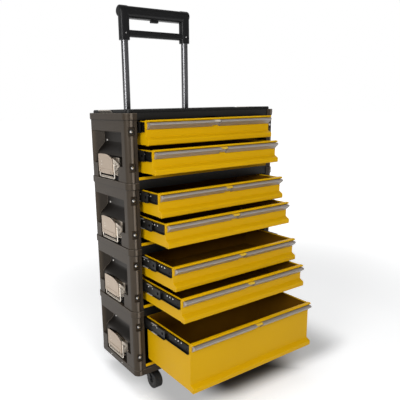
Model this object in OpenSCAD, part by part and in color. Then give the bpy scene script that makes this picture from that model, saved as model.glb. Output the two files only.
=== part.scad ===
// Rolling tool box: four stacked drawer modules on a castor base,
// held together by draw latches, with a telescopic pull handle behind.
// X runs across (right is +X), the drawers open towards -Y, Z = 0 is the floor.

/* [Stack] */
// Overall width over the side panels
stack_w = 520; // [440:10:640]
// Depth of the modules, front plane to back
stack_d = 225; // [215:5:300]
// Height of one module, seam to seam
module_h = 180; // [176:2:210]
// Height of the rim band round the top of each module
rim_h = 18; // [14:1:18]
// How far the rim band stands proud of the panels
rim_proud = 2.5; // [1:0.5:4]
// Radius of the upright corners
corner_r = 17; // [10:1:24]
// Height of the raised platform on top of each module
platform_h = 8; // [5:0.5:8]
// Wall of the plastic mouldings
panel_wall = 3; // [2.5:0.25:4]
// Sheet steel thickness
sheet_t = 1.2; // [0.8:0.1:1.6]

/* [Drawers] */
// Upright gap between two drawers of one module
drawer_gap = 7.2; // [6:0.2:8]
// Height of the lower drawer's foot above the module's seam
drawer_foot = 22.3; // [20:0.1:26]
// Height of the deep drawer's foot above the seam
deep_foot = 24.5; // [20:0.1:30]
// Front-to-back length of the drawer trays
drawer_len = 205; // [160:1:208]
// From the side of the stack to the side of a drawer
side_inset = 43; // [42:1:56]
// How far the nose of the handle strip stands out
nose_out = 17; // [12:1:22]
// How far the kicked-out foot of a drawer front stands out
kick_out = 13; // [8:1:16]
// Width of the thumb catch in the handle strip
catch_w = 22; // [16:1:36]
// Sideways place of the thumb catch, from the middle
catch_x = 8; // [-60:1:60]
// How far the thumb catch is pressed down
catch_travel = 3; // [1.5:0.5:4]
// How far each drawer stands open, from the top down
open_1 = 21; // [0:1:200]
// Second drawer
open_2 = 51; // [0:1:200]
// Third drawer
open_3 = 74; // [0:1:200]
// Fourth drawer
open_4 = 103; // [0:1:200]
// Fifth drawer
open_5 = 132; // [0:1:200]
// Sixth drawer
open_6 = 167; // [0:1:200]
// Bottom drawer
open_7 = 201; // [0:1:202]

/* [Slides] */
// Height of the slide member fixed in the cabinet
slide_h = 30; // [26:1:31]
// Length of the slide members
slide_len = 200; // [150:1:204]

/* [Side grips and latches] */
// Depth of the hand grip
grip_depth = 26.5; // [22:0.5:26.5]
// Height of the top edge of the hand grip, above the module's seam
grip_top = 131; // [126:1:140]
// Front edge of the side recess
recess_front = 31; // [28:1:50]
// Back edge of the side recess
recess_back = 208; // [195:1:214]
// How far in the grip bar stands below the hand grip
bar_in = 8; // [7:0.5:12]
// Height of the sill of the side recess, above the seam
recess_sill = 41; // [36:1:46]
// Top of the pocket behind the latch
pocket_top = 66; // [62:1:68]
// Middle of the latch, from the front plane
latch_y = 130; // [118:1:134]
// Width of the latch lever
latch_w = 85; // [70:1:88]
// Height of the latch lever above its hinge
lever_h = 51; // [44:1:53]
// Height of the latch hinge above the seam
hinge_z = 18; // [17:0.5:20]
// Wire of the latch bail
bail_d = 3.5; // [2.5:0.25:3.5]

/* [Handle] */
// Spacing of the two handle tubes
tube_spacing = 222; // [160:2:260]
// Outer diameter of the handle tubes
tube_d = 22; // [18:0.5:25]
// From the back of the modules to the middle of the tubes
tube_behind = 39; // [30:1:60]
// How far the handle telescopes
handle_travel = 210; // [100:5:230]
// Height of the moulded grip
grip_h = 100; // [90:1:130]
// Height of the hand hole in the grip
hand_hole_h = 33.5; // [30:0.5:44]
// How far the release button is pressed in
button_travel = 4; // [2:0.5:5]

/* [Castors] */
// Wheel diameter
wheel_d = 50; // [40:1:56]
// Wheel tread width
wheel_w = 26; // [18:1:28]
// Height from the floor to the lower edge of the base
base_z = 68; // [66:1:80]
// Trail of the swivel castors
castor_trail = 18; // [14:1:20]
// Sideways place of the castors, in from the side of the stack
castor_inset = 75; // [72:1:110]
// Place of the front and back wheels, in from the front and back planes
wheel_inset = 26; // [25:1:40]

/* [Hidden] */
$fn = 48;
modules = 4;
drawers = 7;
// Running gap between pieces that move past each other
run = 0.3;
// Gap at a lid of a drawer, between plain faces
seat = 0.1;
open_by = [open_1, open_2, open_3, open_4, open_5, open_6, open_7];

side_x = stack_w/2;                    // outer face of a side panel
wrap = 30;                             // how far a panel wraps round the front
bay_x = side_x - wrap;                 // inner face of the steel cabinet wall
tray_x = side_x - side_inset;          // outer face of a drawer tray
slide_room = side_inset - wrap;
rim_z = base_z + rim_h;                // seam over the base
stack_top = rim_z + modules*module_h;
header_h = rim_h + 0.5;
deep_header_h = header_h + 1;
drawer_h = (module_h - header_h - drawer_foot - drawer_gap)/2;
deep_drawer_h = module_h - deep_header_h - deep_foot;
lip_gap = 0.6;                         // between the header and the lip of a closed drawer
sill_z = 7;
sill_h = 7;
floor_z = platform_h + 1.5;            // cabinet floor above the seam

tube_y = stack_d + tube_behind;
sleeve_wall = 2;
sleeve_r = tube_d/2 + 0.7 + sleeve_wall;
collar_r = sleeve_r + 3;
collar_h = 22;
collar_top = stack_top;
grip_z = collar_top + handle_travel + 2.5;
tail_y = tube_y + collar_r + 1;
shift_y = (max([for (i = [1:drawers]) open_by[i - 1]]) + nose_out - tail_y)/2;

function module_z(k) = rim_z + (modules - k)*module_h;
function drawer_module(i) = ceil(i/2);
function drawer_height(i) = i < drawers ? drawer_h : deep_drawer_h;
function drawer_top(i) = module_z(drawer_module(i)) + module_h
    - (i < drawers ? header_h + ((i + 1) % 2)*(drawer_h + drawer_gap) : deep_header_h);

// Points on an arc, n steps from angle a to angle b
function arc(x, y, r, a, b, n = 8) =
    [for (i = [0:n]) [x + r*cos(a + (b - a)*i/n), y + r*sin(a + (b - a)*i/n)]];
// Unit normal to the left of the path at point i
function turn_left(v) = [-v[1], v[0]]/norm(v);
function path_normal(p, i) =
    i == 0 ? turn_left(p[1] - p[0])
    : i == len(p) - 1 ? turn_left(p[i] - p[i - 1])
    : let (u = turn_left(p[i] - p[i - 1]), v = turn_left(p[i + 1] - p[i]), m = (u + v)/norm(u + v))
      m/max(0.5, m*u);
// Outline of a bent sheet: the path and the same path moved left by t
function bent_sheet(p, t) =
    concat(p, [for (i = [len(p) - 1:-1:0]) p[i] + t*path_normal(p, i)]);
// Smooth step from 0 to 1 between a and b
function ease(x, a, b) = let (s = max(0, min(1, (x - a)/(b - a)))) s*s*(3 - 2*s);

// ---------- shared outlines ----------

// Upright block with round corners; its front left corner is at x, y
module round_plan(x, y, w, d, r) {
    translate([x + r, y]) square([w - 2*r, d]);
    translate([x, y + r]) square([w, d - 2*r]);
    for (cx = [x + r, x + w - r], cy = [y + r, y + d - r]) translate([cx, cy]) circle(r);
}
// The stack's plan, grown outwards by g
module stack_plan(g = 0) {
    round_plan(-side_x - g, -g, stack_w + 2*g, stack_d + 2*g, corner_r + g);
}
// Extrude a profile drawn in (depth, height) across the width from x0 to x1
module across(x0, x1) {
    translate([x0, 0, 0]) rotate([90, 0, 90]) linear_extrude(x1 - x0) children();
}
// Extrude a profile drawn in (inward, height) from the left side, along the depth
module along_side(y0, y1) {
    translate([-side_x, y1, 0]) rotate([90, 0, 0]) linear_extrude(y1 - y0) children();
}
module both_sides() {
    children();
    mirror([1, 0, 0]) children();
}

// ---------- base and castors ----------

// Rim, raised platform and hollow underside of the castor base
module base_frame() color("#3c3835") {
    translate([0, 0, base_z]) difference() {
        union() {
            linear_extrude(rim_h) stack_plan();
            translate([0, 0, 2]) linear_extrude(rim_h - 2.8) stack_plan(base_proud);
            both_sides() translate([-side_x + bead_x, bead_in - base_proud, 2]) corner_bead(rim_h - 4);
            tail_block();
        }
        translate([0, 0, -1]) linear_extrude(deck_z + 1) stack_plan(-panel_wall - 2);
        keeper_rebates(rim_h);
        both_sides() for (y = base_screw_y) translate([-side_x - base_proud - 1, y, base_screw_z])
            rotate([0, 90, 0]) cylinder(h = 1.5 + base_screw_in, r = base_screw_r + 0.3);
        both_sides() translate([-tube_spacing/2, tube_y, -1])
            cylinder(h = rim_h + 40, r = sleeve_r + 0.05);
    }
    translate([0, 0, base_z + rim_h]) platform();
    translate([0, 0, base_z]) base_ribs();
}
deck_z = 8;
base_proud = 0.5;                      // the base's band stands out less than the rims
base_screw_y = [88, 155];
base_screw_z = 7;
base_screw_r = 2.6;
base_screw_in = 1.2;                   // depth of the seat of a base screw
// Cross-ribs under the deck, clear of the castor plates
module base_ribs() {
    for (x = [-bay_x/3, bay_x/3]) translate([x - 1.5, panel_wall, 1])
        cube([3, stack_d - 2*panel_wall, deck_z - 0.5]);
    translate([-side_x + panel_wall, stack_d/2 - 1.5, 1])
        cube([stack_w - 2*panel_wall, 3, deck_z - 0.5]);
}
// Tail of the base that carries the handle sleeves in two sockets
module tail_block() {
    linear_extrude(rim_h - 4) difference() {
        round_plan(-tube_spacing/2 - 30, stack_d - 20, tube_spacing + 60, tail_y - stack_d + 20, 14);
        round_plan(-tube_spacing/2 + 30, stack_d + 8, tube_spacing - 60, 200, 12);
    }
    both_sides() translate([-tube_spacing/2, tube_y, 0]) cylinder(h = rim_h + 22, r = collar_r);
}
// Shallow rebates in a rim's top face for the latch keepers
module keeper_rebates(z) {
    both_sides() translate([-side_x + keeper_in - 1.2, latch_y - keeper_w/2 - 0.2, z - keeper_t])
        cube([keeper_flange + 1.4, keeper_w + 0.4, keeper_t + 1]);
}
// Raised platform with a bead round its edge and a notch at each keeper
module platform() {
    difference() {
        union() {
            linear_extrude(platform_h - 2) round_plan(-side_x + 8, 7, stack_w - 16, stack_d - 14, 12);
            translate([0, 0, platform_h - 2]) linear_extrude(1)
                round_plan(-side_x + 8.8, 7.8, stack_w - 17.6, stack_d - 15.6, 11.2);
            translate([0, 0, platform_h - 1]) linear_extrude(1) difference() {
                round_plan(-side_x + 10.4, 9.4, stack_w - 20.8, stack_d - 18.8, 9.6);
                round_plan(-side_x + 22, 21, stack_w - 44, stack_d - 42, 6);
            }
        }
        both_sides() translate([-side_x, latch_y - keeper_w/2 - 4, -1])
            cube([keeper_in + keeper_flange + 2, keeper_w + 8, platform_h + 2]);
        translate([0, 0, -3]) linear_extrude(platform_h - 2 + 3 - 1.8)
            round_plan(-side_x + 30, 12, stack_w - 60, stack_d - 24, 8);
    }
}

plate_t = 3;
mount_z = base_z + deck_z;             // face that the castor plates screw to
axle_z = wheel_d/2;
axle_r = 4;
crown_z = wheel_d + 4;
front_wheel_y = wheel_inset;
back_wheel_y = stack_d - wheel_inset;
swivel_y = front_wheel_y + castor_trail;
castor_x = side_x - castor_inset;
arm_gap = wheel_w/2 + 1;               // inner face of a fork arm
arm_t = 2.5;
pin_clear = 0.08;

// Side view of a fork arm: eye round the axle, tapering up to the crown
module fork_arm(y_top, crown_r, top) {
    union() {
        circle(r = 9);
        polygon([[-8.6, -2.5], [8.6, -2.5], [y_top + crown_r, top - axle_z - 8],
                 [y_top + crown_r, top - axle_z], [y_top - crown_r, top - axle_z],
                 [y_top - crown_r, top - axle_z - 8]]);
    }
}
// Two arms, axle and crown, with the wheel's centre at y = 0
module fork(y_top, crown_r, top) {
    for (x = [-arm_gap - arm_t, arm_gap]) translate([x, 0, axle_z])
        rotate([90, 0, 90]) linear_extrude(arm_t) fork_arm(y_top, crown_r, top);
    translate([-arm_gap - arm_t - 1.5, 0, axle_z]) rotate([0, 90, 0])
        cylinder(h = 2*(arm_gap + arm_t) + 3, r = axle_r);
    for (x = [-arm_gap - arm_t - 2.5, arm_gap + arm_t]) translate([x, 0, axle_z])
        rotate([0, 90, 0]) cylinder(h = 2.5, r = 6.2, $fn = 6);
    translate([-arm_gap - arm_t, y_top - crown_r, top - arm_t])
        cube([2*(arm_gap + arm_t), 2*crown_r, arm_t]);
}
module castor_fork(side) color("#2b2a2a")
    translate([side*castor_x, front_wheel_y, 0]) {
        fork(castor_trail, 13, crown_z);
        translate([0, castor_trail, crown_z - 0.01]) cylinder(h = 2.01, r = 12);
        translate([0, castor_trail, crown_z]) cylinder(h = mount_z - plate_t - crown_z, r = 5);
    }
module castor_brackets() color("#8d8f90") {
    both_sides() translate([-castor_x, swivel_y, 0]) difference() {
        union() {
            translate([-24, -24, mount_z - plate_t]) linear_extrude(plate_t) round_plan(0, 0, 48, 48, 6);
            translate([0, 0, crown_z + 2 + run]) cylinder(h = mount_z - crown_z - 2 - run, r = 15);
        }
        translate([0, 0, crown_z]) cylinder(h = mount_z - plate_t - crown_z + 0.5, r = 5 + pin_clear);
    }
    both_sides() translate([-castor_x, back_wheel_y, 0]) {
        fork(0, 15, mount_z - plate_t);
        translate([-24, -28.5, mount_z - plate_t]) linear_extrude(plate_t) round_plan(0, 0, 48, 48, 6);
    }
}
// Wheel with a rounded tread, dished web and ribs
module wheel() rotate([0, 90, 0]) {
    r = wheel_d/2;
    h = wheel_w/2;
    difference() {
        rotate_extrude($fn = 96) polygon(concat(
            [[axle_r + pin_clear, -h], [9, -h], [9, -h + 3], [r - 9, -h + 3], [r - 8, -h]],
            arc(r - 3, -h + 3, 3, -90, 0, 6), arc(r - 3, h - 3, 3, 0, 90, 6),
            [[r - 8, h], [r - 9, h - 3], [9, h - 3], [9, h], [axle_r + pin_clear, h]]));
        for (z = [-h - 1, h - 6]) translate([0, 0, z]) for (a = [0:45:315]) rotate(a)
            translate([r/2, 0, 0]) cylinder(h = 7, r = 2.4);
    }
}
module front_wheel(side) color("#2a2a2b") translate([side*castor_x, front_wheel_y, axle_z]) wheel();
module back_wheel(side) color("#2a2a2b") translate([side*castor_x, back_wheel_y, axle_z]) wheel();

// ---------- modules ----------

// Steel cabinet of one module: walls, header with finger scoop, floor and platform
module module_shell(k) color("#232221") translate([0, 0, module_z(k)]) {
    wall_top = module_h - 1.5;
    both_sides() translate([-bay_x - sheet_t, 2.5, floor_z])
        cube([sheet_t, stack_d - 2.5, wall_top - floor_z + 0.1]);
    translate([-bay_x - sheet_t, stack_d - sheet_t, 0.5])
        cube([2*(bay_x + sheet_t), sheet_t, wall_top - 0.4]);
    for (z = [40:35:module_h - 30]) across(-bay_x + 30, bay_x - 30)
        translate([stack_d - 0.1, z]) polygon(concat([[0, -6]], arc(0, 0, 2.2, -60, 60, 6), [[0, 6]]));
    translate([-bay_x - sheet_t, 2.5, floor_z])
        cube([2*(bay_x + sheet_t), stack_d - 2.5, 1.5]);
    translate([0, 0, wall_top]) linear_extrude(1.5)
        translate([-bay_x - sheet_t, 2.5]) square([2*(bay_x + sheet_t), stack_d - 2.5]);
    header(module_h - header_h + lip_gap);
    translate([-bay_x, 0.6, 0]) cube([2*bay_x, 1.9, floor_z + 1.5]);
    translate([0, 0, module_h]) platform();
}
// Front strip under the rim, with a shallow finger scoop in its lower edge
module header(z) {
    scoop_w = 66;
    scoop_r = 180;
    difference() {
        translate([-bay_x, 0, z]) cube([2*bay_x, 4, header_h - lip_gap]);
        translate([catch_x, -1, z - sqrt(scoop_r*scoop_r - scoop_w*scoop_w/4)])
            rotate([-90, 0, 0]) cylinder(h = 6, r = scoop_r, $fn = 180);
    }
}

// Recess profile, inward against height: a sill, the grip bar, then an S-curve
// into the hand grip and a rounded lip at the top
function recess_in(z) = bar_in + (grip_depth - bar_in)*ease(z, pocket_top - 2, pocket_top + 38);
lip_r = 4;
function recess_profile(g) = concat(
    [[-10, recess_sill - g], [bar_in - 3 + g, recess_sill - g], [bar_in + g, recess_sill + 3]],
    [for (z = [pocket_top - 4:2.5:pocket_top + 38]) [recess_in(z) + g, z]],
    arc(grip_depth + g - lip_r, grip_top + g - lip_r, lip_r, 0, 90, 5),
    g > 0 ? [[-10, grip_top + g]] : [[lip_r, grip_top], [-10, grip_top + lip_r*1.4]]);
// Pocket of the latch, seen from the side: it runs forward under the grip bar
pocket_front = latch_y - latch_w/2 - 31;
pocket_back = latch_y + latch_w/2 + 9;
function pocket_outline(g) = [
    [pocket_front - g, -1], [pocket_back + g, -1],
    [pocket_back + g, pocket_top - 6 + g], [pocket_back - 6 + g, pocket_top + g],
    [recess_front - g, pocket_top + g], [recess_front - g, recess_sill - g],
    [pocket_front - 5 - g, recess_sill - g], [pocket_front - g, recess_sill - 5 - g]];
module latch_pocket(g, depth) translate([-side_x - 5, 0, 0])
    rotate([90, 0, 90]) linear_extrude(depth + 5 + g) polygon(pocket_outline(g));

// One plastic side moulding with its rim, corner bead, bolt pockets and recess
bead_x = 14;
bead_r = 5.2;
bead_in = 3.2;                         // middle of the bead, behind the front plane
bolt_z = [46.5, 139.5];                // bolts below the top of the module
pocket_w = 20;
pocket_h = 24;
pocket_in = 4.5;
module side_panel() {
    inner = wrap - sheet_t;
    difference() {
        union() {
            difference() {
                panel_shape();
                // hollow behind the skin, open towards the steel wall
                translate([0, 0, panel_wall]) linear_extrude(module_h - 2*panel_wall - 2)
                    intersection() {
                        stack_plan(-panel_wall);
                        translate([-side_x, 0]) square([inner + 1, stack_d]);
                    }
            }
            // recess walls
            intersection() {
                union() {
                    along_side(recess_front - 2.2, recess_back + 2.2) polygon(recess_profile(2.2));
                    latch_pocket(2.2, grip_depth);
                }
                panel_blank();
            }
            // stiffening ribs inside
            intersection() {
                union() {
                    for (y = [recess_front - 12, recess_back + 8]) translate([-side_x, y, 1])
                        cube([inner, 2, module_h - 4]);
                    for (z = [grip_top + 12, grip_top + 24]) translate([-side_x, 4, z])
                        cube([inner, stack_d - 8, 2]);
                }
                panel_blank();
            }
            // bosses behind the bolt pockets
            for (d = bolt_z) translate([-side_x + bead_x - 7, panel_wall, module_h - d - pocket_h/2 - 1])
                cube([pocket_w - 3, 12, pocket_h + 2]);
        }
        recess_cut();
        latch_pocket(0, grip_depth);
        for (d = bolt_z) bolt_pocket(module_h - d);
        // flat seat of the grip screw
        translate([-side_x, side_screw_y, side_screw_z]) rotate([0, 90, 0])
            cylinder(h = grip_depth, r = side_screw_r + 0.4);
        keeper_rebates(module_h);
        // underside, which drops over the platform below
        translate([0, 0, -1]) linear_extrude(platform_h + run + 1)
            round_plan(-side_x + 8 - run, 7 - run, stack_w - 16 + 2*run, stack_d - 14 + 2*run, 12 + run);
        // seam line under the rim band
        translate([0, 0, module_h - rim_h - 0.6]) linear_extrude(0.8) difference() {
            stack_plan(1);
            stack_plan(-0.7);
        }
    }
}
// The moulding's outer shape, before it is hollowed
module panel_blank() {
    intersection() {
        linear_extrude(module_h) stack_plan();
        translate([-side_x, 0, 0]) cube([wrap - sheet_t, stack_d, module_h]);
    }
    intersection() {
        linear_extrude(module_h) stack_plan();
        translate([-side_x, 0, 0]) cube([wrap, 2.5, module_h]);
    }
}
module panel_shape() {
    panel_blank();
    // rim band
    intersection() {
        translate([0, 0, module_h - rim_h]) union() {
            translate([0, 0, 1]) linear_extrude(rim_h - 1.6) stack_plan(rim_proud);
            linear_extrude(rim_h) stack_plan(rim_proud - 0.7);
        }
        difference() {
            translate([-side_x - 10, -10, 0]) cube([wrap + 10, stack_d + 20, module_h]);
            translate([-side_x + wrap - sheet_t, 2.5, -1]) cube([10, stack_d + 20, module_h + 2]);
        }
    }
    // rounded bead up the front corner, and over the rim band
    translate([-side_x + bead_x, bead_in, 0.5]) corner_bead(module_h - rim_h);
    translate([-side_x + bead_x, bead_in - rim_proud, module_h - rim_h + 1.5]) corner_bead(rim_h - 3);
}
// Front half of a round bar with a rounded foot and head
module corner_bead(h) intersection() {
    rotate_extrude() polygon(concat([[0, 0]], arc(bead_r - 1.5, 1.5, 1.5, -90, 0, 4),
        arc(bead_r - 1.5, h - 1.5, 1.5, 0, 90, 4), [[0, h]]));
    translate([-bead_r - 1, -bead_r - 1, -1]) cube([2*bead_r + 2, bead_r + 1, h + 2]);
}
// The recess slants inwards at its back end, where the hand goes in
module recess_cut() {
    slant = recess_back - grip_depth*0.93;
    difference() {
        along_side(recess_front, recess_back) polygon(recess_profile(0));
        translate([-side_x, recess_back, -2]) rotate([0, 0, atan((slant - recess_back)/grip_depth)])
            cube([grip_depth*2, 60, module_h]);
    }
}
module bolt_pocket(z) {
    translate([-side_x + bead_x, pocket_in, z]) rotate([90, 0, 0])
        linear_extrude(pocket_in + 10) round_plan(-pocket_w/2, -pocket_h/2, pocket_w, pocket_h, 3);
    translate([-side_x + bead_x, pocket_in - 1, z]) rotate([-90, 0, 0]) cylinder(h = 9, r = bolt_r + 0.1);
}
bolt_r = 2.6;
washer_r = 6.6;
side_screw_r = 3.4;
side_screw_y = recess_back - 42;
side_screw_z = grip_top - 26;
module side_panels(side) color("#4b4540") for (k = [1:modules])
    translate([0, 0, module_z(k)]) mirror([side > 0 ? 1 : 0, 0, 0]) side_panel();

// Yellow angle strip across the foot of each module's opening
module front_sills() color("#d9a812") for (k = [1:modules])
    translate([0, 0, module_z(k) + sill_z]) across(-bay_x + 1, bay_x - 1)
        polygon([[-1.2, 0], [0.6, 0], [0.6, sill_h - 1.4], [2.5, sill_h - 1.4], [2.5 , sill_h],
                 [-0.4, sill_h], [-1.2, sill_h - 0.8]]);

// Dome-headed bolts with washers, grip screws and base screws
module dome_screw(r, h) rotate_extrude()
    polygon(concat([[0, 0]], arc(0, 0, r, 0, 90, 6)*[[1, 0], [0, h/r]]));
module panel_fasteners() color("#b9b4ac") {
    for (k = [1:modules]) both_sides() translate([0, 0, module_z(k)]) {
        for (d = bolt_z) translate([-side_x + bead_x, pocket_in, module_h - d]) rotate([90, 0, 0]) {
            cylinder(h = 1.4, r = washer_r);
            translate([0, 0, -6.8]) cylinder(h = 7, r = bolt_r);
            translate([0, 0, 1.4]) dome_screw(4.2, 2.8);
        }
        translate([-side_x + grip_depth, side_screw_y, side_screw_z]) rotate([0, -90, 0])
            dome_screw(side_screw_r, 2);
    }
    both_sides() for (y = base_screw_y) translate([-side_x - base_proud + base_screw_in + 0.5, y, base_z + base_screw_z])
        rotate([0, -90, 0]) {
            cylinder(h = 1, r = base_screw_r);
            translate([0, 0, 1]) dome_screw(base_screw_r, 1.6);
        }
}

// ---------- drawers ----------

face_t = sheet_t;
lip_drop = 5.5;                        // height of the rolled lip over the strip
strip_h = 18;
strip_in = 3.5;                        // the strip stops this far short of each end
strip_gap = 1;                         // shadow gap between the lip and the strip
tray_drop = 2;                         // tray rim below the lip
tray_up = 3;                           // tray floor above the foot of the front

// Sheet path of a drawer front, as (forward, height below the lip)
function front_path(h) = concat(
    [[-0.8, -h + 2.6]],
    arc(kick_out - 3, -h + 4.6, 3, -90 - 8, 10, 6),
    arc(kick_out - 6, -h + 12, 6, 5, 38, 3),
    arc(7, -h + 24, 7, 200, 180, 3),
    [[0, -lip_drop - strip_h - 3]]);
module drawer_front(h) {
    // face, with the kicked-out foot
    across(-tray_x, tray_x) mirror([1, 0]) polygon(bent_sheet(front_path(h), face_t));
    // upper face and rolled lip
    across(-tray_x, tray_x) mirror([1, 0]) polygon(concat(
        [[-face_t, -lip_drop - strip_h - 4], [0, -lip_drop - strip_h - 4], [0, -lip_drop], [8, -lip_drop]],
        arc(7.4, -2.6, 2.6, -70, 90, 6), arc(0.6, -1.8, 1.8, 90, 180, 4)));
    // folded ends that close the foot
    for (x = [-tray_x, tray_x - face_t]) across(x, x + face_t) mirror([1, 0])
        polygon(concat(front_path(h), [[-2, -lip_drop - strip_h - 3], [-2, -h + 2.6]]));
    // narrow ends beside the handle strip
    for (x = [-tray_x, tray_x - strip_in]) across(x, x + strip_in) mirror([1, 0])
        polygon([[-0.5, -lip_drop - strip_h], [3, -lip_drop - strip_h + 2], [3, -lip_drop + 0.5], [-0.5, -lip_drop + 0.5]]);
}
// Extruded handle strip under the lip, notched for the thumb catch
module handle_strip() difference() {
    across(-tray_x + strip_in + 0.2, tray_x - strip_in - 0.2) mirror([1, 0]) polygon(concat(
        [[seat, -lip_drop - strip_h], [2.2, -lip_drop - strip_h]],
        arc(nose_out - 3.2, -lip_drop - strip_gap - 3.7, 3.2, -50, 75, 6),
        [[nose_out - 5, -lip_drop - strip_gap], [seat, -lip_drop - strip_gap]]));
    translate([catch_x - catch_w/2 - 1, -nose_out - 2, -lip_drop - strip_h - 1])
        cube([catch_w + 2, nose_out + 4, strip_h + 2]);
}
// Folded tray: floor, two sides with hemmed rims, back wall
module tray(h) {
    side_h = h - tray_drop - tray_up;
    for (x = [-tray_x, tray_x - sheet_t]) translate([x, 0, -tray_drop - side_h])
        cube([sheet_t, drawer_len, side_h]);
    for (x = [-tray_x, tray_x - 2.6]) translate([x, 0, -tray_drop - 3]) cube([2.6, drawer_len, 3]);
    translate([-tray_x, drawer_len - sheet_t, -tray_drop - side_h]) cube([2*tray_x, sheet_t, side_h]);
    translate([-tray_x, 0, -tray_drop - side_h]) difference() {
        cube([2*tray_x, drawer_len, sheet_t]);
        for (n = [1:5]) translate([n*2*tray_x/6 - 20, 30, 0.7]) cube([40, drawer_len - 60, 2]);
    }
    translate([-tray_x, 0, -h + tray_up - 2]) cube([2*tray_x, face_t, 3]);
}
catch_slot_z = lip_drop + 4;
module drawer(i) translate([0, -open_by[i - 1], drawer_top(i)]) {
    color("#d9a50f") difference() {
        union() {
            drawer_front(drawer_height(i));
            tray(drawer_height(i));
            if (i == drawers) both_sides() translate([-tray_x + 0.3, 126, -drawer_height(i)/2])
                rotate([0, -90, 0]) dome_screw(3, 1.3);
        }
        translate([catch_x - 4.4, -3, -catch_slot_z - 4 - catch_travel - run])
            cube([8.8, 8, 4 + catch_travel + 2*run]);
        // relief holes at the lower bends of the folded ends
        across(-tray_x - 1, tray_x + 1) translate([-5, -drawer_height(i) + 4.6]) circle(1.6);
    }
    color("#77706b") handle_strip();
    color("#1d1d1d") both_sides() slide_inner();
}
// Thumb catch: a dished tab in the notch, on a stem through the drawer's face
module drawer_catch(i) color("#cf9c10") translate([catch_x, -open_by[i - 1], drawer_top(i)]) {
    foot = -lip_drop - strip_h + catch_travel + 0.6;
    across(-catch_w/2, catch_w/2) mirror([1, 0]) polygon(concat(
        [[run, foot], [3.4, foot]], arc(14.5, foot - 1, 9.6, 155, 96, 6),
        [[13.6, -lip_drop - 3.2]], arc(11.6, -lip_drop - 2.6, 2.2, 0, 80, 4), [[run, -lip_drop - run]]));
    across(-4, 4) mirror([1, 0]) polygon([[-6, -catch_slot_z - 4], [1, -catch_slot_z - 4],
        [1, -catch_slot_z], [-4.5, -catch_slot_z], [-4.5, -catch_slot_z + 4], [-6, -catch_slot_z + 3]]);
}

// ---------- drawer slides ----------

slide_t = 1;                           // steel of the slide members
race = 0.3;                            // gap between nested members
slide_top = 2.6;                       // top of the cabinet member below the lip
mid_h = slide_h - 2*(slide_t + race);
inner_h = mid_h - 2*(slide_t + race);
slide_axis = -slide_top - slide_h/2;
slide_y = 4;                           // front end of the cabinet member
rivet_r = 2.2;
rivet_out = 1.1;
rivet_up = 5;                          // rivets over the middle line of the slides
inner_rivets = [36, 50, 62];           // from the drawer's face
mid_rivets = [42, 62];
rivet_face = -tray_x - seat - slide_t; // outer face of the inner member

// Cabinet member on the left wall, as (inward from the bay wall, height)
module channel(x0, x1, h, web_x) {
    for (z = [-h/2, h/2 - slide_t]) translate([x0, z]) square([x1 - x0, slide_t]);
    translate([web_x, -h/2]) square([slide_t, h]);
}
module slide_member(y0, len) {
    translate([-bay_x, y0 + len, slide_axis]) rotate([90, 0, 0]) linear_extrude(len) children();
}
module cabinet_slides() color("#1b1b1b") for (i = [1:drawers]) both_sides()
    translate([0, 0, drawer_top(i)]) difference() {
        slide_member(slide_y, slide_len) channel(0, slide_room - 2, slide_h, 0);
        for (n = [0:3]) translate([-bay_x - 1, slide_y + 20 + n*(slide_len - 40)/3, slide_axis])
            rotate([0, 90, 0]) cylinder(h = 3, r = 2.4);
    }
// Middle member, half as far out as the drawer
module drawer_slides(i) color("#262626") both_sides()
    translate([0, -open_by[i - 1]/2, drawer_top(i)]) difference() {
        union() {
            slide_member(slide_y, slide_len - 4) channel(2.2, slide_room - 2, mid_h, slide_room/2 - 0.5);
            for (y = mid_rivets) translate([-bay_x + slide_room/2 - 0.3, y, slide_axis + rivet_up + 1])
                rotate([0, -90, 0]) dome_screw(rivet_r, rivet_out + 0.2);
        }
        for (n = [0:3]) translate([-bay_x + 4, slide_y + 12 + n*(slide_len - 30)/3, slide_axis])
            rotate([0, 90, 0]) cylinder(h = 6, r = n == 0 ? 4 : 2.4);
    }
// Inner member, on the side of the tray, with three rivets near its front end
module slide_inner() difference() {
    union() {
        slide_member(slide_y, slide_len - 8)
            channel(slide_room/2 + 0.8, slide_room - seat, inner_h, slide_room - seat - slide_t);
        for (y = inner_rivets) translate([rivet_face + 0.2, y, slide_axis + rivet_up])
            rotate([0, -90, 0]) dome_screw(rivet_r, rivet_out + 0.2);
    }
    for (n = [0:3]) translate([-bay_x + slide_room/2, slide_y + 10 + n*40, slide_axis - 2])
        rotate([0, 90, 0]) cylinder(h = 10, r = 1.8);
}

// ---------- latches ----------

keeper_w = latch_w - 11;
keeper_t = 1.5;
keeper_h = 8;
keeper_in = 9.5;                       // foot of the keeper's lip, in from the side
keeper_flange = 13;
hinge_in = 3.6;                        // hinge line of a latch, in from the side
bail_arm_y = latch_w/2 + run + bail_d/2; // arms pass outside the lever
bail_low = 3.1;                        // middle of the bail's bar over the rim below
bail_drop = hinge_z - bail_low;        // from the hinge down to the bail's bar
bail_pivot = 28;                       // from the hinge up to the bail's pivot
hinge_pin_r = 1.6;

// Keepers on the base and on every module: a flange in the rim with a lip that leans out
module latch_keepers() color("#a8a29a") for (k = [1:modules + 1])
    translate([0, 0, k > modules ? rim_z : module_z(k) + module_h]) both_sides()
        along_side(latch_y - keeper_w/2, latch_y + keeper_w/2)
            polygon(concat([[keeper_in + keeper_flange, 0], [keeper_in + keeper_flange, -keeper_t],
                [keeper_in + 0.6, -keeper_t], [keeper_in - 0.6, -0.4]],
                arc(keeper_in - 5.8, keeper_h - 0.6, 0.9, 210, 30, 5), [[keeper_in + 1.6, 0]]));

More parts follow.
